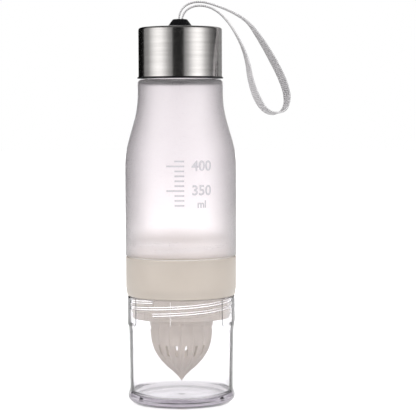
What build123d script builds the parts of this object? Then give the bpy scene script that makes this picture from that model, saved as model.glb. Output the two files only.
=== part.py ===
from build123d import *
import os
from math import cos, radians, sin, tan

os.makedirs("parts", exist_ok=True)

# Fruit infuser water bottle, in millimetres.
# The origin is the centre of the foot ring on the table, +Z is up and the front faces -Y.
# From the table up it is a clear cup, a citrus squeezer, a frosted bottle and a steel cap with a strap.

# Sizes of the clear cup
cup_height = 67.4
cup_wall = 2.0
cup_draft = 0.5
foot_inset = 2.8
foot_width = 2.6
foot_recess = 1.5
lip_overhang = 0.6
lip_level = 4.8
lip_height = 8.4
lip_round = 2.6
floor_level = 4.8
floor_fillet = 3.4
pool_radius = 21.9
pool_depth = 0.5
gate_radius = 1.3
gate_height = 0.6
gate_taper = 20.0
collar_wall = 1.8
collar_step = 0.55
collar_length = 21.8
collar_blend = 4.0
bore_blend = 6.0
pad_count = 8
pad_angle = 30.0
pad_turn = 18.5
pad_height = 0.4
pad_corner = 3.0
rim_round = 0.5

# Threads that join the cup, the squeezer and the bottle
neck_inset = 4.15
neck_wall = 2.0
ridge_height = 0.95
ridge_root = 2.3
ridge_crest = 0.9
ridge_sink = 0.3
crest_clearance = 0.3
wide_starts = 3
wide_lead = 12.0
lower_span = 240.0
upper_span = 150.0
wide_turn = -3.0

# Sizes of the squeezer
band_radius = 34.85
band_height = 24.2
band_taper = 4.9
band_draw = 0.7
band_bend = 14.0
band_round = 0.5
band_wall = 2.6
seam = 0.6
lower_neck_length = 14.2
upper_neck_length = 10.4
lower_ridge_rise = 2.2
upper_ridge_rise = 3.3
web_thickness = 2.2
web_fillet = 2.0
cone_radius = 20.0
cone_height = 40.9
cone_wall = 1.8
rib_count = 16
slot_length = 7.4
slot_width = 2.0
slot_centre = 20.6

# The cone from its tip up, as shares of its height, of its radius and of the local radius cut by the flutes
cone_level_shares = (0, 0.07, 0.154, 0.229, 0.309, 0.385, 0.465, 0.541, 0.621, 0.70, 0.80, 0.88, 0.94, 1)
cone_radius_shares = (0.012, 0.115, 0.29, 0.48, 0.63, 0.745, 0.84, 0.90, 0.945, 0.965, 0.98, 0.99, 0.996, 1)
flute_depth_shares = (0.12, 0.12, 0.12, 0.12, 0.115, 0.11, 0.105, 0.1, 0.095, 0.09, 0.085, 0.06, 0, 0)
solid_tip_count = 2

# Silicone rings in the grooves at both ends of the band
seal_thickness = 1.4
seal_clearance = 0.3
seal_round = 0.3
groove_depth = 1.5
groove_width = 2.5

# Sizes of the frosted bottle
bottle_height = 110.5
bottle_overhang = 0.1
bottle_wall = 2.3
bottle_round = 0.5
thread_zone = 12.0
bore_relief = 9.0
lower_bend_height = 64.3
upper_bend_height = 92.9
lower_bend_radius = 61.0
upper_bend_radius = 66.0
shoulder_radius = 26.75
shoulder_round = 2.4
mouth_outer = 22.4
mouth_wall = 2.4
mouth_length = 27.3
mouth_round = 0.6

# Thread between the bottle and the cap
cap_starts = 2
cap_lead = 8.0
cap_span = 270.0
cap_turn = 30.0
cap_ridge_rise = 15.0

# Sizes of the cap
cap_gap = 0.6
cap_radius = 26.33
cap_height = 32.0
steel_thickness = 0.6
steel_round = 1.7
flange_radius = 27.1
flange_height = 1.15
flange_flare = 0.35
flange_round = 0.3
liner_plate = 2.5
liner_fit = 0.08
gasket_thickness = 1.4
gasket_inset = 0.4
pocket_radius = 8.0
pocket_wall = 1.5
pocket_depth = 6.2

# Sizes of the hub that the strap comes out of
hub_height = 5.15
hub_top_radius = 4.45
hub_shoulder = 1.1
hub_waist_radius = 7.3
hub_waist_height = 1.3
hub_base_radius = 9.7
hub_edge = 0.25
hub_bore_radius = 3.5
hub_flank_round = 3.0
hub_stem = 2.4
hub_fit = 0.1
hub_lead_in = 0.4

# Sizes of the strap
strap_width = 5.8
strap_thickness = 0.9
knot_length = 10.5
knot_thickness = 3.0
knot_round = 0.8
knot_clearance = 0.35
tape_step = 2.5
arc_run_share = 0.45

# Route of the strap: out of the hub, over and down to the loop's far side, and back up into the hub
strap_route = (
    (-0.75, 0, 232.5),
    (-0.85, 0, 239.6),
    (-0.1, 0, 245.6),
    (3.2, 0, 249.7),
    (8.6, 0, 251.9),
    (15.2, 0, 251.9),
    (23.6, 0, 249.3),
    (33.0, 0.4, 245.5),
    (42.6, 2.0, 239.8),
    (50.7, 4.5, 229.0),
    (59.2, 7.2, 215.0),
    (65.7, 9.4, 202.1),
    (68.5, 10.4, 191.6),
    (66.4, 8.6, 183.8),
    (60.2, 3.0, 181.4),
    (53.3, -4.2, 183.3),
    (48.0, -9.0, 190.5),
    (43.8, -10.0, 202.2),
    (42.0, -8.4, 214.5),
    (38.2, -5.4, 225.5),
    (32.4, -2.6, 236.0),
    (25.7, -0.8, 244.4),
    (18.7, -0.1, 248.7),
    (12.0, 0, 249.8),
    (6.3, 0, 248.5),
    (2.3, 0, 245.0),
    (0.9, 0, 239.6),
    (0.75, 0, 232.5),
)

# How far the tape is turned at each point of its route, from edge on to face on as seen from the
# front, in degrees. It shows its inner face on the far side of the loop and its outer face on the near.
strap_turns = (0,) * 7 + (3, 8, 32, 48, 51, 45, 22, -12, -31, -45, -34, -21, -7, -1) + (0,) * 7

# Height of each piece above the table, stacked from the cup up
band_level = cup_height + seam
band_top = band_level + band_height
bottle_level = band_top + seam
shoulder_level = bottle_level + bottle_height
mouth_level = shoulder_level + mouth_length
cap_level = shoulder_level + cap_gap
steel_level = cap_level + flange_height
cap_top = cap_level + cap_height
hub_top = cap_top + hub_height
neck_bottom = band_level - lower_neck_length
neck_top = band_top + upper_neck_length
cone_tip = neck_bottom - cone_height

# Radii that fit each other, from the band to the neck in it, the collar round that and the foot
neck_radius = band_radius - neck_inset
wide_bore = neck_radius + ridge_height + crest_clearance
collar_radius = wide_bore + collar_wall
cup_radius = collar_radius - collar_step
lip_radius = cup_radius + lip_overhang
foot_radius = lip_radius - foot_inset
bottle_radius = band_radius + bottle_overhang
neck_inner = neck_radius - neck_wall
cap_bore = mouth_outer + ridge_height + crest_clearance
shell_inner = cap_radius - steel_thickness
liner_outer = shell_inner - liner_fit
mouth_inner = mouth_outer - mouth_wall
groove_radius = neck_radius + groove_width
wide_pitch = wide_lead / wide_starts
cap_pitch = cap_lead / cap_starts
front = -90.0


def turned(*corners):
    """Turns an outline about the Z axis. Each corner is a radius, a level and the rounding there."""
    with BuildSketch(Plane.XZ) as outline:
        with BuildLine():
            FilletPolyline(
                *[(radius, level) for radius, level, rounding in corners],
                radius=[rounding for radius, level, rounding in corners],
                close=True,
            )
        make_face()
    revolve(outline.sketch, axis=Axis.Z)


def thread_ridges(wall_radius, outward, level, starts, lead, span, turn):
    """Adds the helical ridges of one thread to the part that is being built.

    Each ridge starts at a level, covers an angle, and stands out of a round wall or into its bore.
    The first one starts at the angle turn, and the others are spread evenly round from there.
    """
    side = 1 if outward else -1
    with BuildLine(Plane.XY.offset(level)) as ridge_path:
        Helix(pitch=lead, height=lead * span / 360.0, radius=wall_radius)
    ridge_start = Plane(origin=ridge_path.line @ 0, x_dir=(side, 0, 0), z_dir=ridge_path.line % 0)
    with BuildSketch(ridge_start) as ridge:
        Polygon(
            (-ridge_sink, -ridge_root / 2),
            (ridge_height, -ridge_crest / 2),
            (ridge_height, ridge_crest / 2),
            (-ridge_sink, ridge_root / 2),
            align=None,
        )
    one_ridge = sweep(ridge.sketch, path=ridge_path.line, is_frenet=True, mode=Mode.PRIVATE)
    with PolarLocations(0, starts, start_angle=turn):
        add(one_ridge, clean=False)


# Clear cup: the foot ring, the rounded lip, the drafted wall and the collar in one outline.
# Its thread is in the collar's bore, and pads for the fingers stand on the collar.
collar_level = cup_height - collar_length
lip_wall_radius = cup_radius - cup_draft
cup_bore_level = neck_bottom - ridge_root
pad_radius = collar_radius + pad_height
pad_base = collar_level + collar_blend
pad_half_width = pad_radius * sin(radians(pad_angle / 2))
cup_ridge_level = neck_bottom + lower_ridge_rise + wide_pitch / 2

# One finger pad, a curved plate with rounded lower corners, at angle zero
with BuildPart() as finger_pad:
    with BuildSketch(Plane.XY.offset(pad_base)):
        Circle(pad_radius)
        Circle(collar_radius - ridge_sink, mode=Mode.SUBTRACT)
    extrude(amount=cup_height - rim_round - pad_base)
    with BuildSketch(Plane.YZ):
        with BuildLine():
            FilletPolyline(
                (-pad_half_width, cup_height),
                (-pad_half_width, pad_base),
                (pad_half_width, pad_base),
                (pad_half_width, cup_height),
                radius=(0, pad_corner, pad_corner, 0),
                close=True,
            )
        make_face()
    extrude(amount=pad_radius + pad_height, mode=Mode.INTERSECT)

with BuildPart() as clear_cup:
    turned(
        (foot_radius - foot_width, 0, 0),
        (foot_radius, 0, 0),
        (lip_radius, lip_level - foot_width, lip_round),
        (lip_radius, lip_level, lip_round),
        (lip_wall_radius, lip_height, lip_round),
        (cup_radius, collar_level, 0),
        (collar_radius, collar_level + collar_blend, 0),
        (collar_radius, cup_height, rim_round),
        (wide_bore, cup_height, rim_round),
        (wide_bore, cup_bore_level, 0),
        (cup_radius - cup_wall, cup_bore_level - bore_blend, 0),
        (lip_wall_radius - cup_wall, floor_level, floor_fillet),
        (0, floor_level, 0),
        (0, foot_recess + pool_depth, 0),
        (pool_radius, foot_recess + pool_depth, 0),
        (pool_radius, foot_recess, 0),
        (foot_radius - foot_width, foot_recess, 0),
    )
    with PolarLocations(0, pad_count, start_angle=front + pad_turn):
        add(finger_pad.part, clean=False)

    thread_ridges(wide_bore, False, cup_ridge_level, wide_starts, wide_lead, lower_span, wide_turn)
    with BuildSketch(Plane.XY.offset(foot_recess + pool_depth)):
        Circle(gate_radius)
    extrude(amount=-gate_height, taper=gate_taper)

clear_cup.part.label = "clear_cup"
export_step(clear_cup.part, "parts/clear_cup.step")


def seal_ring(level):
    """Turns one silicone ring that sits round the squeezer's neck, in the band's groove."""
    inner = neck_radius + seal_clearance
    outer = groove_radius - seal_clearance
    turned(
        (inner, level, seal_round),
        (outer, level, seal_round),
        (outer, level + seal_thickness, seal_round),
        (inner, level + seal_thickness, seal_round),
    )


# Cup seal: it lies in the groove under the band, and the cup's rim closes on it
with BuildPart() as cup_seal:
    seal_ring(band_level + groove_depth - seal_clearance - seal_thickness)

cup_seal.part.label = "cup_seal"
export_step(cup_seal.part, "parts/cup_seal.step")


# Squeezer: the band between two threaded necks, a floor inside, and a hollow fluted cone under it
hollow_radius = cone_radius - cone_wall
lower_ridge_level = neck_bottom + lower_ridge_rise
upper_ridge_level = band_top + upper_ridge_rise
rib_pitch = 360.0 / rib_count
web_top = neck_bottom + web_thickness
band_inner = band_radius - band_wall
band_slope = band_inner - neck_inner + groove_depth
cone_shares = list(zip(cone_level_shares, cone_radius_shares, flute_depth_shares))

# The cone alone: each level is a ring of concave arcs from rib to rib, hollowed and slotted
with BuildPart() as cone:
    for level_share, radius_share, depth_share in cone_shares:
        rib_radius = cone_radius * radius_share
        flute_radius = rib_radius * (1 - depth_share)
        with BuildSketch(Plane.XY.offset(cone_tip + cone_height * level_share)):
            with BuildLine():
                for rib in range(rib_count):
                    rib_angle = front + rib_pitch * rib
                    ThreePointArc(
                        Vector(rib_radius, 0).rotate(Axis.Z, rib_angle),
                        Vector(flute_radius, 0).rotate(Axis.Z, rib_angle + rib_pitch / 2),
                        Vector(rib_radius, 0).rotate(Axis.Z, rib_angle + rib_pitch),
                    )
            make_face()
    loft(ruled=True)

    # The hollow follows the flutes at the wall's thickness and runs out through the squeezer's floor
    hollow_side = [
        (
            cone_radius * radius_share * (1 - depth_share) - cone_wall,
            cone_tip + cone_height * level_share,
        )
        for level_share, radius_share, depth_share in cone_shares[solid_tip_count:]
    ]
    with BuildSketch(Plane.XZ):
        with BuildLine():
            Polyline(
                (0, hollow_side[0][1]),
                *hollow_side,
                (hollow_radius, web_top),
                (0, web_top),
                close=True,
            )
        make_face()
    revolve(axis=Axis.Z, mode=Mode.SUBTRACT, clean=False)

    # A slot in each flute lets the juice through
    with BuildSketch(Plane.YZ.offset(hollow_radius / 2)):
        with Locations((0, cone_tip + slot_centre)):
            SlotOverall(slot_length, slot_width, rotation=90)
    slot_tool = extrude(amount=hollow_radius, mode=Mode.PRIVATE)
    with PolarLocations(0, rib_count, start_angle=front + rib_pitch / 2):
        add(slot_tool, mode=Mode.SUBTRACT, clean=False)

with BuildPart() as squeezer:
    turned(
        (hollow_radius, neck_bottom, 0),
        (neck_radius, neck_bottom, rim_round),
        (neck_radius, band_level + groove_depth, 0),
        (groove_radius, band_level + groove_depth, 0),
        (groove_radius, band_level, 0),
        (band_radius - band_draw, band_level, band_round),
        (band_radius, band_level + band_taper, band_bend),
        (band_radius, band_top, band_round),
        (groove_radius, band_top, 0),
        (groove_radius, band_top - groove_depth, 0),
        (neck_radius, band_top - groove_depth, 0),
        (neck_radius, neck_top, rim_round),
        (neck_inner, neck_top, rim_round),
        (neck_inner, band_top, 0),
        (band_inner, band_top - band_slope, web_fillet),
        (band_inner, band_level + band_slope, web_fillet),
        (neck_inner, band_level, 0),
        (neck_inner, web_top, web_fillet),
        (hollow_radius, web_top, 0),
    )
    thread_ridges(neck_radius, True, lower_ridge_level, wide_starts, wide_lead, lower_span, wide_turn)
    thread_ridges(neck_radius, True, upper_ridge_level, wide_starts, wide_lead, upper_span, wide_turn)
    add(cone.part, clean=False)

squeezer.part.label = "squeezer"
export_step(squeezer.part, "parts/squeezer.step")


# Body seal: the same ring in the groove on top of the band, under the bottle's edge
with BuildPart() as body_seal:
    seal_ring(band_top - groove_depth + seal_clearance)

body_seal.part.label = "body_seal"
export_step(body_seal.part, "parts/body_seal.step")


# Bottle body: a frosted shell, open below for the squeezer, with a threaded mouth for the cap
lower_bend = bottle_level + lower_bend_height
upper_bend = bottle_level + upper_bend_height
bottle_inner = bottle_radius - bottle_wall
shoulder_inner = shoulder_radius - bottle_wall
bottle_ridge_level = upper_ridge_level + wide_pitch / 2
mouth_ridge_level = shoulder_level + cap_ridge_rise

with BuildPart() as bottle_body:
    turned(
        (wide_bore, bottle_level, bottle_round),
        (bottle_radius, bottle_level, bottle_round),
        (bottle_radius, lower_bend, lower_bend_radius),
        (shoulder_radius, upper_bend, upper_bend_radius),
        (shoulder_radius, shoulder_level, shoulder_round),
        (mouth_outer, shoulder_level, mouth_round),
        (mouth_outer, mouth_level, mouth_round),
        (mouth_inner, mouth_level, mouth_round),
        (mouth_inner, shoulder_level - bottle_wall, mouth_round),
        (shoulder_inner, shoulder_level - bottle_wall, shoulder_round - mouth_round),
        (shoulder_inner, upper_bend, upper_bend_radius + bottle_wall),
        (bottle_inner, lower_bend, lower_bend_radius - bottle_wall),
        (bottle_inner, bottle_level + thread_zone + bore_relief, 0),
        (wide_bore, bottle_level + thread_zone, 0),
    )
    thread_ridges(wide_bore, False, bottle_ridge_level, wide_starts, wide_lead, upper_span, wide_turn)
    thread_ridges(mouth_outer, True, mouth_ridge_level, cap_starts, cap_lead, cap_span, cap_turn)

bottle_body.part.label = "bottle_body"
export_step(bottle_body.part, "parts/bottle_body.step")


# Cap liner: the black screw cap inside the steel, with its foot flange showing below the steel.
# A closed pocket in its top holds the strap's knot and keeps the water out of it.
liner_top = cap_top - steel_thickness - liner_fit
plate_level = liner_top - liner_plate
pocket_floor = liner_top - pocket_depth
liner_ridge_level = mouth_ridge_level + cap_pitch / 2

with BuildPart() as cap_liner:
    turned(
        (cap_bore, cap_level, flange_round),
        (flange_radius, cap_level, flange_round),
        (flange_radius - flange_flare, steel_level, flange_round),
        (liner_outer, steel_level, 0),
        (liner_outer, liner_top, steel_round - steel_thickness),
        (pocket_radius, liner_top, 0),
        (pocket_radius, pocket_floor, 0),
        (0, pocket_floor, 0),
        (0, pocket_floor - pocket_wall, 0),
        (pocket_radius + pocket_wall, pocket_floor - pocket_wall, mouth_round),
        (pocket_radius + pocket_wall, plate_level, 0),
        (cap_bore, plate_level, mouth_round),
    )
    thread_ridges(cap_bore, False, liner_ridge_level, cap_starts, cap_lead, cap_span, cap_turn)

cap_liner.part.label = "cap_liner"
export_step(cap_liner.part, "parts/cap_liner.step")


# Cap gasket: a flat ring between the bottle's mouth and the liner's plate
gasket_level = (mouth_level + plate_level - gasket_thickness) / 2

with BuildPart() as cap_gasket:
    turned(
        (mouth_inner + gasket_inset, gasket_level, seal_round),
        (cap_bore - gasket_inset, gasket_level, seal_round),
        (cap_bore - gasket_inset, gasket_level + gasket_thickness, seal_round),
        (mouth_inner + gasket_inset, gasket_level + gasket_thickness, seal_round),
    )

cap_gasket.part.label = "cap_gasket"
export_step(cap_gasket.part, "parts/cap_gasket.step")


# Cap shell: thin drawn steel over the liner, with a hole in its top for the hub's stem
with BuildPart() as cap_shell:
    turned(
        (shell_inner, steel_level, 0),
        (cap_radius, steel_level, 0),
        (cap_radius, cap_top, steel_round),
        (pocket_radius, cap_top, 0),
        (pocket_radius, cap_top - steel_thickness, 0),
        (shell_inner, cap_top - steel_thickness, steel_round - steel_thickness),
    )

cap_shell.part.label = "cap_shell"
export_step(cap_shell.part, "parts/cap_shell.step")


# Cap hub: a small black cone with hollow flanks, whose stem closes the pocket over the knot
stem_radius = pocket_radius - hub_fit
hub_bottom = liner_top - hub_stem

with BuildPart() as cap_hub:
    turned(
        (hub_bore_radius, hub_bottom, hub_lead_in),
        (stem_radius, hub_bottom, hub_lead_in),
        (stem_radius, cap_top, 0),
        (hub_base_radius, cap_top, 0),
        (hub_base_radius, cap_top + hub_edge, 0),
        (hub_waist_radius, cap_top + hub_waist_height, hub_flank_round),
        (hub_top_radius, hub_top, hub_shoulder),
        (hub_bore_radius, hub_top, hub_edge),
    )

cap_hub.part.label = "cap_hub"
export_step(cap_hub.part, "parts/cap_hub.step")


# Strap: one flat tape. Each corner of its route has a tangent arc whose radius follows the shorter
# run beside it and the half turn. The tape is edge on over the cap and turns on its way down.
route_points = [Vector(*point) for point in strap_route]
runs = [after - before for before, after in zip(route_points, route_points[1:])]
route_length = sum(run.length for run in runs)
route_shares = [
    sum(run.length for run in runs[:count]) / route_length for count in range(len(route_points))
]
arc_radii = [
    arc_run_share * min(before.length, after.length) / tan(radians(before.get_angle(after)) / 2)
    for before, after in zip(runs, runs[1:])
]


def turn_at(share):
    """The tape's turn in degrees at a share of its length."""
    ahead = next(index for index, mark in enumerate(route_shares) if mark >= share and index > 0)
    gone = (share - route_shares[ahead - 1]) / (route_shares[ahead] - route_shares[ahead - 1])
    return strap_turns[ahead - 1] + gone * (strap_turns[ahead] - strap_turns[ahead - 1])


with BuildPart() as strap:
    with BuildLine():
        strap_path = FilletPolyline(*route_points, radius=arc_radii)
    tape_steps = round(strap_path.length / tape_step)
    for step in range(tape_steps + 1):
        place = strap_path @ (step / tape_steps)
        along = strap_path % (step / tape_steps)
        inward = Vector(0, 1, 0).cross(along).normalized()
        turn = radians(turn_at(step / tape_steps))
        across = inward * sin(turn) + along.cross(inward) * cos(turn)
        with BuildSketch(Plane(origin=place, x_dir=across, z_dir=along)):
            Rectangle(strap_width, strap_thickness)
    loft(ruled=True)

strap.part.label = "strap"
export_step(strap.part, "parts/strap.step")
print("strap arc radii", [round(radius, 1) for radius in arc_radii])
print("strap runs", [round(run.length, 1) for run in runs])
print("strap length", round(strap_path.length, 1))
tape_volume = strap_path.length * strap_width * strap_thickness
print("strap volume", round(strap.part.volume), "tape", round(tape_volume))


# Strap knot: the two ends sewn together and folded into a block that can't pass the hub's bore
knot_top = hub_bottom - knot_clearance

with BuildPart() as strap_knot:
    with BuildSketch(Plane.XY.offset(knot_top - knot_thickness)):
        Rectangle(knot_length, strap_width)
    extrude(amount=knot_thickness)
    fillet(strap_knot.edges().filter_by(Axis.Y), radius=knot_round)

strap_knot.part.label = "strap_knot"
export_step(strap_knot.part, "parts/strap_knot.step")
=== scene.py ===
# %% [markdown]
# # Fruit infuser water bottle
# A clear cup, a milky citrus squeezer, a frosted bottle and a steel screw cap with a looped strap.
# The CAD model gives every rigid piece its shape and its place, in metres, with the foot ring on z = 0.
# This file gives those pieces their finishes, and makes what CAD leaves plain: the woven strap, its
# sewn knot and the printed scale.

# %% Load the frame
from math import cos, pi, radians, sin

import bmesh
import bpy
from mathutils import Matrix, Vector


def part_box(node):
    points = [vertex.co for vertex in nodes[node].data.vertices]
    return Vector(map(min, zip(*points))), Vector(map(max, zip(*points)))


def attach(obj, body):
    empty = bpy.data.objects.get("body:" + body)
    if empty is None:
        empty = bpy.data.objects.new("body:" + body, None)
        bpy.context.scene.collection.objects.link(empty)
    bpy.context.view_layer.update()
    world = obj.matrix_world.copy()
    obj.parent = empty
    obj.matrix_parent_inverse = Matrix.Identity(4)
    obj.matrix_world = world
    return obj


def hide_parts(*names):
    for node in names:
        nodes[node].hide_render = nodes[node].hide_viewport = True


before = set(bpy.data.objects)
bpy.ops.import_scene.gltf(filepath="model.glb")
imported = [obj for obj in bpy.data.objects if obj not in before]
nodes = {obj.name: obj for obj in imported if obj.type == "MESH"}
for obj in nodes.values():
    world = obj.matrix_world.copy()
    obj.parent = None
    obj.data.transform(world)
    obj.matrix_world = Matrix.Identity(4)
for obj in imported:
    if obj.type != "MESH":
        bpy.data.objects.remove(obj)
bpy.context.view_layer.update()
mm = 0.001  # the frame is in metres
print("nodes", sorted(nodes))

# %% [markdown]
# ## The camera
# The photograph was taken from about a metre away with a long lens, a little above the middle of the
# bottle. The bottle stands left of the middle, so the camera is turned slightly to the right of it
# rather than shifted. A very small roll matches the lean of the bottle in the photograph.

# %% Camera
camera_place = (0, -0.985, 0.18423)
camera_pitch, camera_roll, camera_yaw = 3.59, 0.19, 1.01
lens, sensor = 135.2, 36

camera = bpy.data.objects.new("camera", bpy.data.cameras.new("camera"))
camera.data.lens, camera.data.sensor_width = lens, sensor
camera.location = camera_place
camera.rotation_euler = (radians(90 - camera_pitch), radians(camera_roll), radians(-camera_yaw))
bpy.context.scene.collection.objects.link(camera)
bpy.context.scene.camera = camera
print("lens", lens, "mm at", round(-camera_place[1], 3), "m")

# %% [markdown]
# ## The strap's line
# The strap is one flat tape. Both ends go down through the hub and are sewn together below it, and the
# loop leans over the cap's edge and hangs beside the shoulder. A smooth NURBS line with a few control
# points bends the way a tape does, so the line comes first and the tape is laid along it.

# %% Strap line
strap_route = [
    (-0.75, 0, 232.5), (-0.85, 0, 239.6), (-0.1, 0, 245.6), (3.2, 0, 249.7), (8.6, 0, 251.9),
    (15.2, 0, 251.9), (23.6, 0, 249.3), (33.0, 0.4, 245.5), (42.6, 2.0, 239.8), (50.7, 4.5, 229.0),
    (59.2, 7.2, 215.0), (65.7, 9.4, 202.1), (68.5, 10.4, 191.6), (66.4, 8.6, 183.8), (60.2, 3.0, 181.4),
    (53.3, -4.2, 183.3), (48.0, -9.0, 190.5), (43.8, -10.0, 202.2), (42.0, -8.4, 214.5),
    (38.2, -5.4, 225.5), (32.4, -2.6, 236.0), (25.7, -0.8, 244.4), (18.7, -0.1, 248.7), (12.0, 0, 249.8),
    (6.3, 0, 248.5), (2.3, 0, 245.0), (0.9, 0, 239.6), (0.75, 0, 232.5),
]
strap_turns = [0] * 7 + [3, 8, 32, 48, 51, 45, 22, -12, -31, -45, -34, -21, -7, -1] + [0] * 7
strap_line_steps = 12


def smooth_line(name, route):
    """The points, in metres, of a NURBS line whose control points are given in millimetres."""
    curve = bpy.data.curves.new(name, "CURVE")
    curve.dimensions, curve.resolution_u = "3D", strap_line_steps
    spline = curve.splines.new("NURBS")
    spline.points.add(len(route) - 1)
    for point, place in zip(spline.points, route):
        point.co = (*[value * mm for value in place], 1)
    spline.order_u = 3
    spline.use_endpoint_u = True
    holder = bpy.data.objects.new(name, curve)
    bpy.context.scene.collection.objects.link(holder)
    bpy.context.view_layer.update()
    points = [vertex.co.copy() for vertex in bpy.data.meshes.new_from_object(holder).vertices]
    bpy.data.objects.remove(holder)
    return points


strap_line = smooth_line("strap_line", strap_route)
strap_length = sum((b - a).length for a, b in zip(strap_line, strap_line[1:]))
print("strap line", len(strap_line), "points,", round(strap_length / mm, 1), "mm")

# %% [markdown]
# ## The tape
# A woven tape is thin in the middle and a little thicker along its two sewn edges. Its outline is drawn
# once with a few vertices, and then extruded from point to point of the line. Over the cap the tape
# stands on edge. Each control point of the line has a turn, so that the far side of the loop shows its
# inner face and the near side its outer face, as in the photograph.

# %% Tape helpers
tape_width, tape_edge = 5.8 * mm, 1.0 * mm
tape_outline = [(1.0, 0.0), (0.975, 0.66), (0.9, 1.0), (0.8, 0.86), (0.68, 0.76), (0.34, 0.76), (0.0, 0.76)]


def tape_section():
    """The tape's outline, once round, as shares of its half width and half of its edge's thickness."""
    upper = tape_outline + [(-w, t) for w, t in tape_outline[-2::-1]]
    return upper + [(w, -t) for w, t in upper[-2:0:-1]]


def turn_at(share):
    """The tape's turn at a share of its line, read between the turns of its control points."""
    spot = share * (len(strap_turns) - 2) + 0.5
    low = min(int(spot), len(strap_turns) - 2)
    return radians(strap_turns[low] + (spot - low) * (strap_turns[low + 1] - strap_turns[low]))


def tape_frames(line):
    """A matrix for each point of the line: X across the tape, Y out of its face, Z along the line."""
    frames = []
    for index, place in enumerate(line):
        ahead = line[min(index + 1, len(line) - 1)] - line[max(index - 1, 0)]
        along = ahead.normalized()
        inward = Vector((0, 1, 0)).cross(along).normalized()
        turn = turn_at(index / (len(line) - 1))
        across = inward * sin(turn) + along.cross(inward) * cos(turn)
        face = along.cross(across)
        frames.append(Matrix.Translation(place) @ Matrix((across, face, along)).transposed().to_4x4())
    return frames


# %% Mesh helpers
def mesh_object(bm, name):
    """Makes a bmesh an object of that name."""
    mesh = bpy.data.meshes.new(name)
    bm.to_mesh(mesh)
    bm.free()
    made = bpy.data.objects.new(name, mesh)
    bpy.context.scene.collection.objects.link(made)
    print(name, len(mesh.polygons), "faces")
    return made


def finish_mesh(bm, name, body, smooth=True):
    """Makes a bmesh an object of that name that rides on a CAD body."""
    piece = mesh_object(bm, name)
    piece.data.polygons.foreach_set("use_smooth", [smooth] * len(piece.data.polygons))
    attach(piece, body)
    return piece


# %% Woven strap
def vertex_places(part):
    """Where the vertices of an edge or a face are."""
    return sorted(tuple(vertex.co) for vertex in part.verts)


def sort_parts(bm):
    """Puts vertices, edges and faces in an order that is the same in every run."""
    keys = ((bm.verts, lambda vertex: tuple(vertex.co)), (bm.edges, vertex_places), (bm.faces, vertex_places))
    for parts, key in keys:
        ranks = {part: rank for rank, part in enumerate(sorted(parts, key=key))}
        parts.sort(key=ranks.get)


def lay_tape(line, name, body):
    """Extrudes the tape's outline along a line. The UV map holds its sewn edge and millimetres along."""
    frames = tape_frames(line)
    bm = bmesh.new()
    uv = bm.loops.layers.uv.new("weave")
    ring = [bm.verts.new((w * tape_width / 2, t * tape_edge / 2, 0)) for w, t in tape_section()]
    edges = [bm.edges.new((a, b)) for a, b in zip(ring, ring[1:] + ring[:1])]
    bmesh.ops.transform(bm, matrix=frames[0], verts=ring)
    along = dict.fromkeys(ring, 0.0)
    travelled = 0.0
    for before, after in zip(frames, frames[1:]):
        travelled += (after.translation - before.translation).length / mm
        made = bmesh.ops.extrude_edge_only(bm, edges=edges)["geom"]
        fresh = [part for part in made if isinstance(part, bmesh.types.BMVert)]
        edges = [part for part in made if isinstance(part, bmesh.types.BMEdge) and
                 all(end in fresh for end in part.verts)]
        along.update(dict.fromkeys(fresh, travelled))
        bmesh.ops.transform(bm, matrix=after @ before.inverted(), verts=fresh)
    for face in bm.faces:
        for loop in face.loops:
            loop[uv].uv = (tape_width / 2 / mm, along[loop.vert])
    sort_parts(bm)
    bmesh.ops.holes_fill(bm, edges=[edge for edge in bm.edges if edge.is_boundary])
    bmesh.ops.recalc_face_normals(bm, faces=bm.faces)
    return finish_mesh(bm, name, body)


strap_tape = lay_tape(strap_line, "strap_tape", "strap")
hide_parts("strap")

# %% [markdown]
# ## The knot
# Under the hub the two ends are folded over each other and sewn into a block that can't slip back
# through the hub's hole. It starts as a cube with rounded edges.

# %% Sewn knot
knot_low, knot_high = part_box("strap_knot")
knot_edge = 0.6 * mm

bm = bmesh.new()
bmesh.ops.create_cube(bm, size=1)
bmesh.ops.scale(bm, vec=knot_high - knot_low, verts=bm.verts)
bmesh.ops.translate(bm, vec=(knot_high + knot_low) / 2, verts=bm.verts)
bmesh.ops.bevel(bm, geom=bm.edges[:], offset=knot_edge, affect="EDGES", segments=3, profile=0.5, material=-1)
uv = bm.loops.layers.uv.new("weave")
for face in bm.faces:
    for loop in face.loops:
        place = loop.vert.co / mm
        loop[uv].uv = (place.y, place.x + place.z)
knot = finish_mesh(bm, "sewn_knot", "strap")
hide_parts("strap_knot")

# %% [markdown]
# ## Shader maths
# A finish is a tree of nodes. Two small classes keep the trees readable: a Value wraps a socket, so
# that an expression such as 1 - mask adds its Math nodes, and a Finish makes any node from its type,
# its settings and what goes into its sockets.


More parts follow.
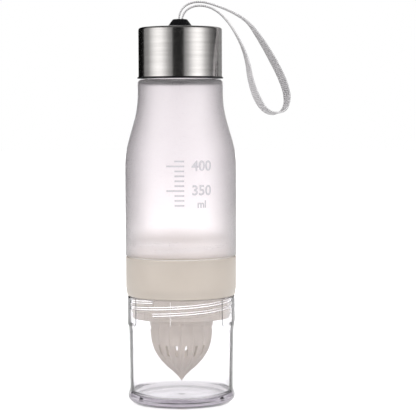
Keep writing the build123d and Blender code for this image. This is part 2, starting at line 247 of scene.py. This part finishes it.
# %% Value class
class Value:
    """The output of a node, as a number that changes over a surface."""

    def __init__(self, finish, socket):
        self.finish, self.socket = finish, socket

    def __getitem__(self, name):
        return Value(self.finish, self.socket.node.outputs[name])

    def math(self, operation, *inputs):
        return self.finish.node("ShaderNodeMath", {"operation": operation}, dict(enumerate(inputs)))

    def __add__(self, other):
        return self.math("ADD", self, other)

    def __sub__(self, other):
        return self.math("SUBTRACT", self, other)

    def __rsub__(self, other):
        return self.math("SUBTRACT", other, self)

    def __mul__(self, other):
        return self.math("MULTIPLY", self, other)

    def __truediv__(self, other):
        return self.math("DIVIDE", self, other)

    def __gt__(self, other):
        return self.math("GREATER_THAN", self, other)

    __radd__, __rmul__ = __add__, __mul__

    def wave(self, pitch):
        """A sine of this value that repeats at each pitch."""
        return self.math("SINE", self * (2 * pi / pitch))

    def size(self):
        return self.math("ABSOLUTE", self)

    def root(self):
        return self.math("SQRT", self)

    def most(self, other):
        return self.math("MAXIMUM", self, other)

    def spread(self, low, high, to_low=0.0, to_high=1.0):
        """This value with the range low to high stretched over another one, and held there."""
        return self.finish.node("ShaderNodeMapRange", {}, {0: self, 1: low, 2: high, 3: to_low, 4: to_high})


# %% Finish class
class Finish:
    """A material, and the methods that add nodes to it."""

    def __init__(self, name):
        self.material = bpy.data.materials.new(name)
        self.material.use_nodes = True
        self.tree = self.material.node_tree
        self.tree.nodes.clear()

    def node(self, kind, settings, sockets, output=0):
        """A node of a kind. Its settings come first, a ramp's stops among them, and then its sockets."""
        made = self.tree.nodes.new(kind)
        for name, value in settings.items():
            if name == "stops":
                ramp = made.color_ramp.elements
                while len(ramp) < len(value):
                    ramp.new(0.5)
                for element, (position, tone) in zip(ramp, value):
                    element.position, element.color = position, (tone, tone, tone, 1)
            else:
                setattr(made, name, value)
        for name, value in sockets.items():
            if isinstance(value, Value):
                self.tree.links.new(value.socket, made.inputs[name])
            else:
                made.inputs[name].default_value = value
        return Value(self, made.outputs[output]) if made.outputs else None

    def place(self):
        """Object coordinates, in metres."""
        return self.node("ShaderNodeTexCoord", {}, {}, "Object")

    def parts(self, vector):
        split = self.node("ShaderNodeSeparateXYZ", {}, {0: vector})
        return split["X"], split["Y"], split["Z"]

    def from_axis(self):
        """The distance from the bottle's axis, in metres."""
        x, y, _ = self.parts(self.place())
        return (x * x + y * y).root()

    def joined(self, x, y, z):
        return self.node("ShaderNodeCombineXYZ", {}, {0: x, 1: y, 2: z})

    def noise(self, vector, scale, detail=2.0, roughness=0.5):
        settings = {"Vector": vector, "Scale": scale, "Detail": detail, "Roughness": roughness}
        return self.node("ShaderNodeTexNoise", {}, settings)

    def mixed(self, share, a, b):
        """A colour between a and b."""
        return self.node("ShaderNodeMix", {"data_type": "RGBA"}, {0: share, 6: a, 7: b}, 2)

    def bump(self, height, distance):
        return self.node("ShaderNodeBump", {}, {"Height": height, "Distance": distance, "Strength": 1.0})

    def surface(self, **sockets):
        """A Principled shader. Underscores in the names stand for spaces."""
        named = {name.replace("_", " "): value for name, value in sockets.items()}
        return self.node("ShaderNodeBsdfPrincipled", {}, named)

    def done(self, shader, **depth):
        """The material. Volume is what light meets inside, if anything."""
        self.node("ShaderNodeOutputMaterial", {}, {"Surface": shader, **depth})
        print("finish", self.material.name, len(self.tree.nodes), "nodes")
        return self.material


# %% Colours and slots
def colour(*screen_values):
    """A colour written as on a screen, 0 to 255, in the linear values that sockets take."""
    shares = [value / 255 for value in screen_values]
    linear = [share / 12.92 if share <= 0.04045 else ((share + 0.055) / 1.055) ** 2.4 for share in shares]
    return (*linear, 1)


def dress(material, *names):
    """Gives CAD nodes a finish through their material slots."""
    for name in names:
        for place in nodes[name].material_slots:
            place.material = material


# %% [markdown]
# ## Light through clear plastic
# Light that only passes through a clear wall on its way to what is behind it needs no bending, and
# bent light takes very many samples. So for shadow rays and for light that bounces off a dull surface,
# the plastics are simply see-through and a little tinted.


# %% Light passes through
def lets_light_through(finish, shader, tint):
    """The shader, but plainly see-through for shadow rays and diffuse bounces."""
    ray = finish.node("ShaderNodeLightPath", {}, {})
    passing = ray["Is Shadow Ray"].most(ray["Is Diffuse Ray"])
    window = finish.node("ShaderNodeBsdfTransparent", {}, {"Color": tint})
    return finish.node("ShaderNodeMixShader", {}, {0: passing, 1: shader, 2: window})


# %% [markdown]
# ## Clear cup
# A polished clear plastic with a faint lavender tint, almost without colour. Light bends at its walls,
# which draws the dark lines along its edges. Slow waves from moulding keep its highlights from being
# ruler straight. In the middle of its floor is a small dark gate mark, where the plastic ran into the
# mould. Light that runs a long way inside the plastic, through the floor and the foot, loses some of
# itself and comes out lavender grey. A Volume Absorption node does that.

# %% Clear plastic
plastic_ior = 1.5
gate_inner, gate_outer, gate_low, gate_high = 2.0 * mm, 2.5 * mm, 3.0 * mm, 3.5 * mm
clear_tint, clear_passing = (0.965, 0.958, 0.972, 1), (0.99, 0.985, 0.995, 1)
depth_tint, depth_density = (0.68, 0.645, 0.695, 1), 40.0

clear = Finish("clear_plastic")
waves = clear.noise(clear.place(), 60.0, 1.0)
smears = clear.noise(clear.place(), 260.0, 3.0)
x, y, z = clear.parts(clear.place())
gate_mark = ((x * x + y * y).spread(gate_inner ** 2, gate_outer ** 2, 1.0, 0.0) *
             z.spread(gate_low, gate_high, 1.0, 0.0))
clear_shader = clear.surface(
    Base_Color=clear.mixed(gate_mark, clear_tint, colour(70, 58, 68)),
    Roughness=smears.spread(0.35, 0.7, 0.02, 0.07), IOR=plastic_ior,
    Transmission_Weight=1.0, Normal=clear.bump(waves, 0.08 * mm))
depth = clear.node("ShaderNodeVolumeAbsorption", {}, {"Color": depth_tint, "Density": depth_density})
dress(clear.done(lets_light_through(clear, clear_shader, clear_passing), Volume=depth), "clear_cup")

# %% [markdown]
# ## Squeezer
# Warm milky plastic that lets a little light through. The mould gives it a very fine grain, and its
# colour drifts slightly from place to place. The neck inside the bottle is thin and catches light from
# above, so its colour is painted paler with its height, as painted light.

# %% Milky plastic
pale_from, pale_to = 92.5 * mm, 96 * mm
milky_passing = (0.75, 0.73, 0.7, 1)

milky = Finish("milky_plastic")
drift = milky.noise(milky.place(), 35.0)
grain = milky.noise(milky.place(), 2600.0)
# Painted light: the neck's colour is painted paler towards its top.
neck_painted_light = milky.parts(milky.place())[2].spread(pale_from, pale_to)
band_colour = milky.mixed(drift.spread(0.3, 0.7), colour(207, 198, 189), colour(199, 190, 181))
milky_shader = milky.surface(
    Base_Color=milky.mixed(neck_painted_light, band_colour, colour(241, 237, 235)),
    Roughness=grain.spread(0.3, 0.7, 0.3, 0.4), IOR=plastic_ior,
    Transmission_Weight=0.4, Normal=milky.bump(grain, 0.02 * mm))
dress(milky.done(lets_light_through(milky, milky_shader, milky_passing)), "squeezer")

# %% [markdown]
# ## Frosted bottle
# The body is moulded with a fine sandblasted face. It is milky, so it scatters the light that comes
# through it: the middle is pale and the edges darker. Its colour is painted a little paler towards the
# band below, as painted light, and its rounded rim there is painted darker, a painted shade at the seam.

# %% Frosted plastic
wall_high, wall_low, rim_high, rim_low = 150 * mm, 90 * mm, 93.7 * mm, 93.1 * mm
frosted_passing = (0.92, 0.91, 0.92, 1)

frosted = Finish("frosted_plastic")
level = frosted.parts(frosted.place())[2]
cloud = frosted.noise(frosted.place(), 45.0)
sand = frosted.noise(frosted.place(), 3200.0)
# Painted light: the wall is painted paler towards the band below, and the cloud adds a random drift of tone.
painted_light_and_cloud = level.spread(wall_high, wall_low) + cloud.spread(0.3, 0.7, -0.08, 0.08)
wall_colour = frosted.mixed(painted_light_and_cloud, colour(242, 238, 240), colour(253, 249, 250))
frosted_shader = frosted.surface(
    # Painted shade: the rounded rim at the seam over the band is painted darker.
    Base_Color=frosted.mixed(level.spread(rim_high, rim_low), wall_colour, colour(212, 205, 196)),
    Roughness=sand.spread(0.3, 0.7, 0.26, 0.34), IOR=plastic_ior,
    Transmission_Weight=0.94, Normal=frosted.bump(sand, 0.03 * mm))
dress(frosted.done(lets_light_through(frosted, frosted_shader, frosted_passing)), "bottle_body")

# %% [markdown]
# ## Silicone rings
# Soft and slightly dusty. A noise makes small spots of the rings duller and rougher.

# %% Silicone
silicone = Finish("silicone")
dust = silicone.noise(silicone.place(), 900.0, 3.0)
dress(silicone.done(silicone.surface(
    Base_Color=silicone.mixed(dust.spread(0.4, 0.7), colour(226, 224, 220), colour(214, 211, 206)),
    Roughness=dust.spread(0.3, 0.7, 0.42, 0.6), Normal=silicone.bump(dust, 0.02 * mm))),
    "cup_seal", "body_seal", "cap_gasket")

# %% [markdown]
# ## Black plastic
# The liner and the hub are glossy moulded plastic. Fine scuffs raise the roughness here and there.

# %% Black plastic
black = Finish("black_plastic")
scuffs = black.noise(black.place(), 700.0, 4.0, 0.6)
dress(black.done(black.surface(
    Base_Color=black.mixed(scuffs.spread(0.55, 0.75), colour(8, 8, 10), colour(20, 20, 22)),
    Roughness=scuffs.spread(0.3, 0.75, 0.22, 0.42),
    Specular_IOR_Level=0.3, Normal=black.bump(scuffs, 0.01 * mm))),
    "cap_liner", "cap_hub")

# %% [markdown]
# ## Steel cap
# Drawn steel is finished on a lathe, so very fine lines run round it. A noise that reads the height and
# the distance from the axis gives such lines on the side and circles on the top. It reads a little of x
# too, so that no line is the same all the way round.

# %% Turned steel
steel = Finish("turned_steel")
x, y, z = steel.parts(steel.place())
lines = steel.noise(steel.joined(steel.from_axis(), z, x * 0.02), 5200.0)
broad = steel.noise(steel.joined(steel.from_axis(), z, x * 0.05), 420.0)
dress(steel.done(steel.surface(
    Base_Color=steel.mixed(broad.spread(0.35, 0.7), colour(214, 211, 209), colour(203, 200, 198)),
    Metallic=1.0, Roughness=lines.spread(0.3, 0.7, 0.11, 0.19), Normal=steel.bump(lines, 0.004 * mm))),
    "cap_shell")

# %% [markdown]
# ## Webbing
# The tape is a tight weave of grey yarn. Two waves in millimetres, across and along, pick which yarn lies
# on top, and each yarn has its own round height, its fibres and its own shade of grey. The colour follows
# that height too: the hollows and sides of each yarn are painted darker and its top lighter, a painted
# shade. Where the tape is sewn, the weave is denser. The tape reads all this at its sewn edge, so it
# shows fine ribs from side to side and no twill, while the knot reads the whole pattern.

# %% Woven webbing
warp_pitch, weft_pitch, weft_share, even_most = 0.46, 0.62, 0.8, 0.25
sewn_from, sewn_to = 2.2, 2.55

webbing = Finish("grey_webbing")
across, along, _ = webbing.parts(webbing.node("ShaderNodeUVMap", {"uv_map": "weave"}, {}))
step = across / warp_pitch + along / weft_pitch
over = step.wave(2.0) > 0.0
warp_round = across.wave(warp_pitch).size()
weft_round = along.wave(weft_pitch).size()
yarn_height = over * warp_round + (1 - over) * weft_round * weft_share
fibres = webbing.noise(webbing.joined(across * 6.0, along * 1.5, 0.0), 3.0, 3.0)
shade = webbing.noise(webbing.joined(across * 0.8, along * 0.12, 0.0), 1.6)
selvedge = across.size().spread(sewn_from, sewn_to)
# Painted shade: the yarn's colour is darker where it lies low, in the hollows of the weave, and the fibres
# add their own tone.
yarn_shade_and_fibres = yarn_height * fibres.spread(0.2, 0.8, 0.7, 1.1)
yarn_colour_and_shade = webbing.mixed(yarn_shade_and_fibres, colour(140, 139, 141), colour(218, 216, 217))
even_share = (shade.spread(0.3, 0.7) + selvedge) * even_most
webbing_material = webbing.done(webbing.surface(
    Base_Color=webbing.mixed(even_share, yarn_colour_and_shade, colour(178, 176, 178)),
    Roughness=0.82, Sheen_Weight=0.25, Sheen_Roughness=0.5,
    Normal=webbing.bump(yarn_height + fibres * 0.3, 0.16 * mm)))
for piece in (strap_tape, knot):
    piece.data.materials.append(webbing_material)

# %% [markdown]
# ## Printed scale
# The real bottle has a pale grey print on its front. Here that place holds a plain scale for the
# contents in millilitres. Text is made with Blender's own letters and turned into a mesh. All of it is
# drawn flat and then wrapped round the bottle, a sixteenth of a millimetre above its wall.

# %% Scale helpers
bottle_radius, ink_rise, scale_turn = 34.95 * mm, 0.06 * mm, radians(6)
letter_bold, letter_steps = 0.22 * mm, 4


def wrap_round(bm):
    """Bends flat ink in XZ round the front of the bottle, just above its wall."""
    radius = bottle_radius + ink_rise
    for vertex in bm.verts:
        angle = vertex.co.x / bottle_radius + scale_turn
        vertex.co = (radius * sin(angle), -radius * cos(angle), vertex.co.z)


def text_mesh(text, height, place):
    """Flat letters in the XZ plane, their middle at place."""
    curve = bpy.data.curves.new("text", "FONT")
    curve.body, curve.size, curve.align_x, curve.align_y = text, height, "CENTER", "CENTER"
    curve.resolution_u, curve.offset = letter_steps, letter_bold
    holder = bpy.data.objects.new("text", curve)
    bpy.context.scene.collection.objects.link(holder)
    bpy.context.view_layer.update()
    mesh = bpy.data.meshes.new_from_object(holder)
    bpy.data.objects.remove(holder)
    mesh.transform(Matrix.Translation(place) @ Matrix.Rotation(radians(90), 4, "X"))
    return mesh


# %% Printed scale
amounts, numbered_step = range(320, 411, 10), 50
tick_right, tick_short, tick_long, tick_height = -1.5 * mm, 6 * mm, 11 * mm, 1.0 * mm
number_height, number_place, unit_height, unit_amount = 8.6 * mm, 9.5 * mm, 6.02 * mm, 322
level_at_300, rise_per_ml = 120 * mm, 0.3 * mm


def level_of(amount):
    """The height, in metres, of an amount in millilitres."""
    return level_at_300 + (amount - 300) * rise_per_ml


bm = bmesh.new()
for amount in amounts:
    numbered = amount % numbered_step == 0
    width = tick_long if numbered else tick_short
    made = bmesh.ops.create_grid(bm, x_segments=8, y_segments=1, size=0.5)["verts"]
    bmesh.ops.scale(bm, vec=(width, tick_height, 1), verts=made)
    bmesh.ops.rotate(bm, matrix=Matrix.Rotation(radians(90), 3, "X"), verts=made)
    bmesh.ops.translate(bm, vec=(tick_right - width / 2, 0, level_of(amount)), verts=made)
    if numbered:
        bm.from_mesh(text_mesh(str(amount), number_height, (number_place, 0, level_of(amount))))
bm.from_mesh(text_mesh("ml", unit_height, (number_place, 0, level_of(unit_amount))))
wrap_round(bm)
scale_print = finish_mesh(bm, "volume_scale", "bottle", smooth=False)

ink = Finish("pale_ink")
fleck = ink.noise(ink.place(), 1500.0)
scale_print.data.materials.append(ink.done(ink.surface(
    Base_Color=ink.mixed(fleck.spread(0.3, 0.7), colour(182, 179, 184), colour(192, 189, 194)),
    Roughness=0.6)))

# %% [markdown]
# ## The surround
# A white surround, as in a product photograph. The world is white for the camera, in reflections and
# through clear plastic, and dimmer where it lights the object, so that colours keep their depth.


# %% World
world = bpy.data.worlds.new("studio")
bpy.context.scene.world = world
world.use_nodes = True
world_light = 0.62  # what the world gives the object, where 1 is white


def seen_directly(finish):
    """1 for what the camera sees straight, in a reflection or through clear plastic, else 0."""
    ray = finish.node("ShaderNodeLightPath", {}, {})
    return ray["Is Camera Ray"].most(ray["Is Glossy Ray"]).most(ray["Is Transmission Ray"])


surround = Finish("surround")
surround.tree = world.node_tree  # the world has a tree of its own
surround.tree.nodes.clear()
strength = seen_directly(surround).spread(0.0, 1.0, world_light, 1.0)
sky = surround.node("ShaderNodeBackground", {}, {"Color": (1, 1, 1, 1), "Strength": strength})
surround.node("ShaderNodeOutputWorld", {}, {"Surface": sky})

# %% [markdown]
# ## The floor
# A big white sheet under the foot, glossy near the bottle and dull further out, so that it mirrors only
# the cup. Its colour is painted darker under the foot ring, a painted shadow, and for light that comes
# through the plastic also in a strip round it, a painted shadow of the cup's lip. It glows a little, as
# the surround does, and far away it glows white for the camera, so that no horizon shows. The glow lights
# nothing.

# %% Floor helpers
floor_size, floor_drop = 12.0, 0.05 * mm
foot_inner, foot_outer, lip_shade_end = 20 * mm, 31 * mm, 50 * mm
gloss_end, dull_start, far_start, far_end = 60 * mm, 120 * mm, 150 * mm, 600 * mm
under_foot, lip_shade_most, near_glow = 0.4, 0.4, 0.4
no_light, full_light, floor_white = (0, 0, 0, 1), (1, 1, 1, 1), (0.8, 0.8, 0.8, 1)


def floor_finish():
    """White, with a gloss near the bottle, a painted shadow at its foot and a glow far away."""
    white = Finish("glossy_white")
    away = white.from_axis()
    ray = white.node("ShaderNodeLightPath", {}, {})
    far_glow = ray["Is Camera Ray"].most(ray["Is Transmission Ray"]) * away.spread(far_start, far_end)
    # Painted shadow: the floor's colour is darker under the foot ring and, for light through the plastic, in
    # a strip round the lip.
    lip_shade = ray["Is Transmission Ray"] * away.spread(foot_outer, lip_shade_end, lip_shade_most, 0.0)
    lit = away.spread(foot_inner, foot_outer, 1.0, under_foot).most((away > foot_outer) * (1 - lip_shade))
    paint = white.mixed(lit, no_light, floor_white)
    gloss = white.surface(Base_Color=paint, Roughness=0.12)
    dull = white.surface(Base_Color=paint, Roughness=1.0, Specular_IOR_Level=0.0)
    coat = white.node("ShaderNodeMixShader", {}, {0: away.spread(gloss_end, dull_start), 1: gloss, 2: dull})
    glow = (seen_directly(white) * lit * near_glow).most(far_glow)
    shine = white.node("ShaderNodeEmission", {}, {"Color": white.mixed(glow, no_light, full_light)})
    return white.done(white.node("ShaderNodeAddShader", {}, {0: coat, 1: shine}))


# %% Floor
bm = bmesh.new()
bmesh.ops.create_grid(bm, x_segments=1, y_segments=1, size=floor_size / 2)
bmesh.ops.translate(bm, vec=(0, 0, -floor_drop), verts=bm.verts)
floor = mesh_object(bm, "floor")
floor.data.materials.append(floor_finish())

# %% [markdown]
# ## The lamps
# Three soft lamps light the object from both sides and from above. They aren't seen in reflections,
# because the screens below draw those.


# %% Lamps
aim = Vector((0, 0, 0.13))


def softbox(name, place, width, height, watts):
    """A soft lamp that lights the object, but isn't seen in its reflections."""
    lamp = bpy.data.lights.new(name, "AREA")
    lamp.shape, lamp.size, lamp.size_y, lamp.energy = "RECTANGLE", width, height, watts
    holder = bpy.data.objects.new(name, lamp)
    turned = (aim - Vector(place)).to_track_quat("-Z", "Y").to_matrix().to_4x4()
    holder.matrix_world = Matrix.Translation(place) @ turned
    holder.visible_camera = holder.visible_glossy = holder.visible_transmission = False
    bpy.context.scene.collection.objects.link(holder)
    print(name, watts, "watts")


softbox("left_softbox", (-0.9, -0.7, 0.6), 0.6, 0.9, 7)
softbox("right_softbox", (0.9, -0.6, 0.5), 0.6, 0.9, 6)
softbox("top_softbox", (0.0, -0.2, 1.2), 0.8, 0.8, 6)

# %% [markdown]
# ## What the steel mirrors
# Polished metal shows its surroundings. In a studio those are strips of bright and dark board, and they
# draw the bands on the cap. Here a drum stands round the bottle that only reflections see. Its tone is a
# list of stops by the bearing in degrees, 0 in front and 90 on the right, and a grey lid closes it.


# %% Screens
screen_strength = 1.3


def screen(bm, name, stops, seen_by):
    """Stands a screen that one kind of ray sees. Its tone follows the bearing round the bottle."""
    paint = Finish(name)
    x, y, _ = paint.parts(paint.place())
    bearing = paint.node("ShaderNodeMath", {"operation": "ARCTAN2"}, {0: x, 1: y * -1}) * (180 / pi)
    shares = [((degrees + 180) / 360, tone) for degrees, tone in stops]
    tones = paint.node("ShaderNodeValToRGB", {"stops": shares}, {0: bearing.spread(-180, 180)})
    panel = mesh_object(bm, name)
    panel.data.materials.append(paint.done(
        paint.node("ShaderNodeEmission", {}, {"Color": tones, "Strength": screen_strength})))
    for ray in ("camera", "diffuse", "shadow", "volume_scatter", "glossy", "transmission"):
        setattr(panel, "visible_" + ray, ray == seen_by)


def even(tone):
    """The stops of a screen with one tone all round."""
    return [(-180, tone), (180, tone)]


# %% Drum and lid
drum_radius, drum_top, drum_sides = 1.3, 1.1, 96
drum_tones = [
    (-180, 0.77), (-164, 0.77), (-162, 0.0), (-118, 0.005), (-115, 0.22), (-96, 0.34), (-76, 0.95),
    (-64, 1.15), (-52, 1.08), (-40, 0.68), (-30, 0.34), (-22, 0.26), (-20, 0.02), (0, 0.01), (9, 0.02),
    (11, 0.22), (21, 0.44), (36, 1.03), (47, 1.22), (58, 1.08), (72, 0.55), (90, 0.2), (104, 0.11),
    (114, 0.04), (123, 0.03), (127, 0.24), (148, 0.28), (155, 0.06), (160, 0.1), (162, 0.77), (180, 0.77),
]
bm = bmesh.new()
bmesh.ops.create_cone(bm, cap_ends=False, segments=drum_sides, radius1=drum_radius, radius2=drum_radius,
                      depth=drum_top)
bmesh.ops.translate(bm, vec=(0, 0, drum_top / 2), verts=bm.verts)
screen(bm, "drum", drum_tones, "glossy")

bm = bmesh.new()
bmesh.ops.create_circle(bm, cap_ends=True, segments=drum_sides, radius=drum_radius)
bmesh.ops.translate(bm, vec=(0, 0, drum_top), verts=bm.verts)
screen(bm, "lid", even(0.1), "glossy")

# %% [markdown]
# ## What the clear plastic shows
# On a white ground a clear cup is hard to see. A studio puts black cards, or flags, just outside the
# picture, and the edges of the plastic bend their dark into view. These flags stand beside the bottle and
# behind its axis, and only light that goes through plastic sees them. The low pair draws the edges of the
# cup, and the tall pair darkens the edges of the frosted body.

# %% Flags
flags = {  # in mm: inner and outer distance to the side, low and high edge, distance behind the axis
    "cup": (34.5, 44, 0, 68, 6),
    "body": (38, 240, 82, 250, 60),
}
flag_tone = 0.02

for side, side_name in ((-1, "left"), (1, "right")):
    for flag_name, (inner, outer, low, high, behind) in flags.items():
        middle = Vector((side * (inner + outer) / 2, behind, (low + high) / 2)) * mm
        bm = bmesh.new()
        bmesh.ops.create_grid(bm, x_segments=1, y_segments=1, size=0.5)
        bmesh.ops.rotate(bm, matrix=Matrix.Rotation(radians(90), 3, "X"), verts=bm.verts)
        bmesh.ops.scale(bm, vec=((outer - inner) * mm, 1, (high - low) * mm), verts=bm.verts)
        bmesh.ops.translate(bm, vec=middle, verts=bm.verts)
        screen(bm, side_name + "_" + flag_name + "_flag", even(flag_tone), "transmission")

# %% [markdown]
# ## Look
# The Standard view keeps colours as they are written.

# %% Finish
bpy.context.scene.view_settings.view_transform = "Standard"
